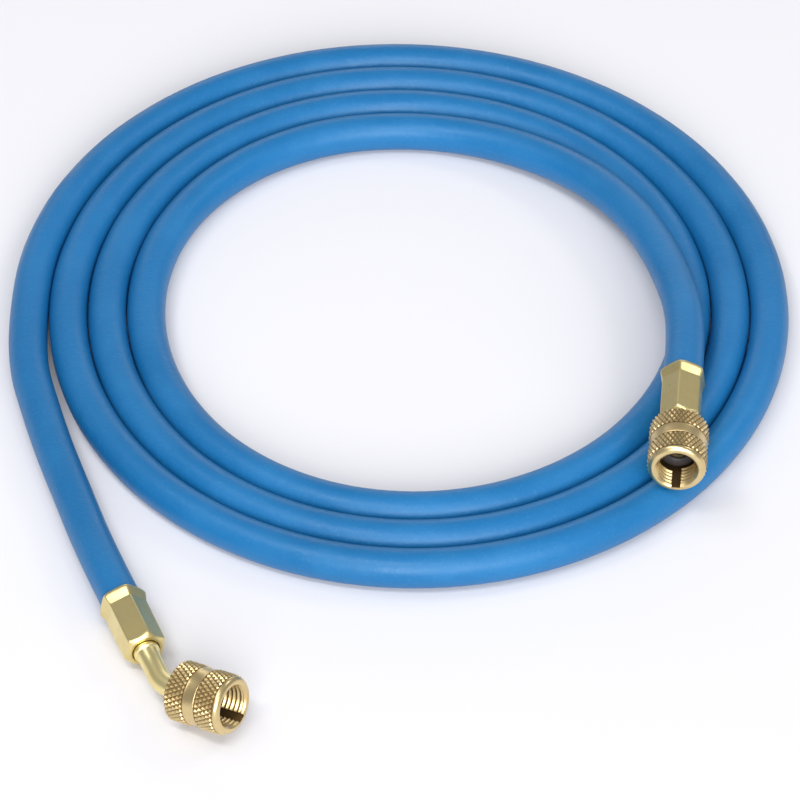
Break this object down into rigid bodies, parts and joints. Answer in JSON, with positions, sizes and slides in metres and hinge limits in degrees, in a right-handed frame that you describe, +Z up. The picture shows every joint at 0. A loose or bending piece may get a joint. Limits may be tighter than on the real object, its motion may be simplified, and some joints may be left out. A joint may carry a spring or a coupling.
{
  "type": "refrigerant charging hose",
  "caption": "Coiled rubber refrigerant charging hose with hexagonal crimp ferrules, one straight and one bent brass stem, and swivel flare nuts with knurled bands.",
  "frame": {"origin": "centre of the outline's box, on the surface that the coil lies on", "axes": "+Z up, +Y from the bent fitting across the coil, +X towards the side with the straight fitting"},
  "size_m": [0.207, 0.2702, 0.0262],
  "materials": {
    "hose_rubber": "satin",
    "brass": "satin",
    "nut_brass": "satin, knurled",
    "gasket_rubber": "matte"
  },
  "bodies": {
    "hose_and_stems": {"hose": "hose_rubber", "ferrule_straight": "brass", "stem_straight": "brass", "gasket_straight": "gasket_rubber", "ferrule_bent": "brass", "stem_bent": "brass", "gasket_bent": "gasket_rubber"},
    "straight_nut": {"nut_straight": "nut_brass"},
    "bent_nut": {"nut_bent": "nut_brass"}
  },
  "joints": [
    {"name": "straight_nut_spin", "type": "hinge", "parent": "hose_and_stems", "child": "straight_nut", "pos_m": [0.07082, -0.04599, 0.01828], "axis": [-0.088, -0.9952, 0.042], "continuous": true},
    {"name": "bent_nut_spin", "type": "hinge", "parent": "hose_and_stems", "child": "bent_nut", "pos_m": [-0.04667, -0.12497, 0.00913], "axis": [0.8248, -0.5329, 0.189], "continuous": true}
  ]
}
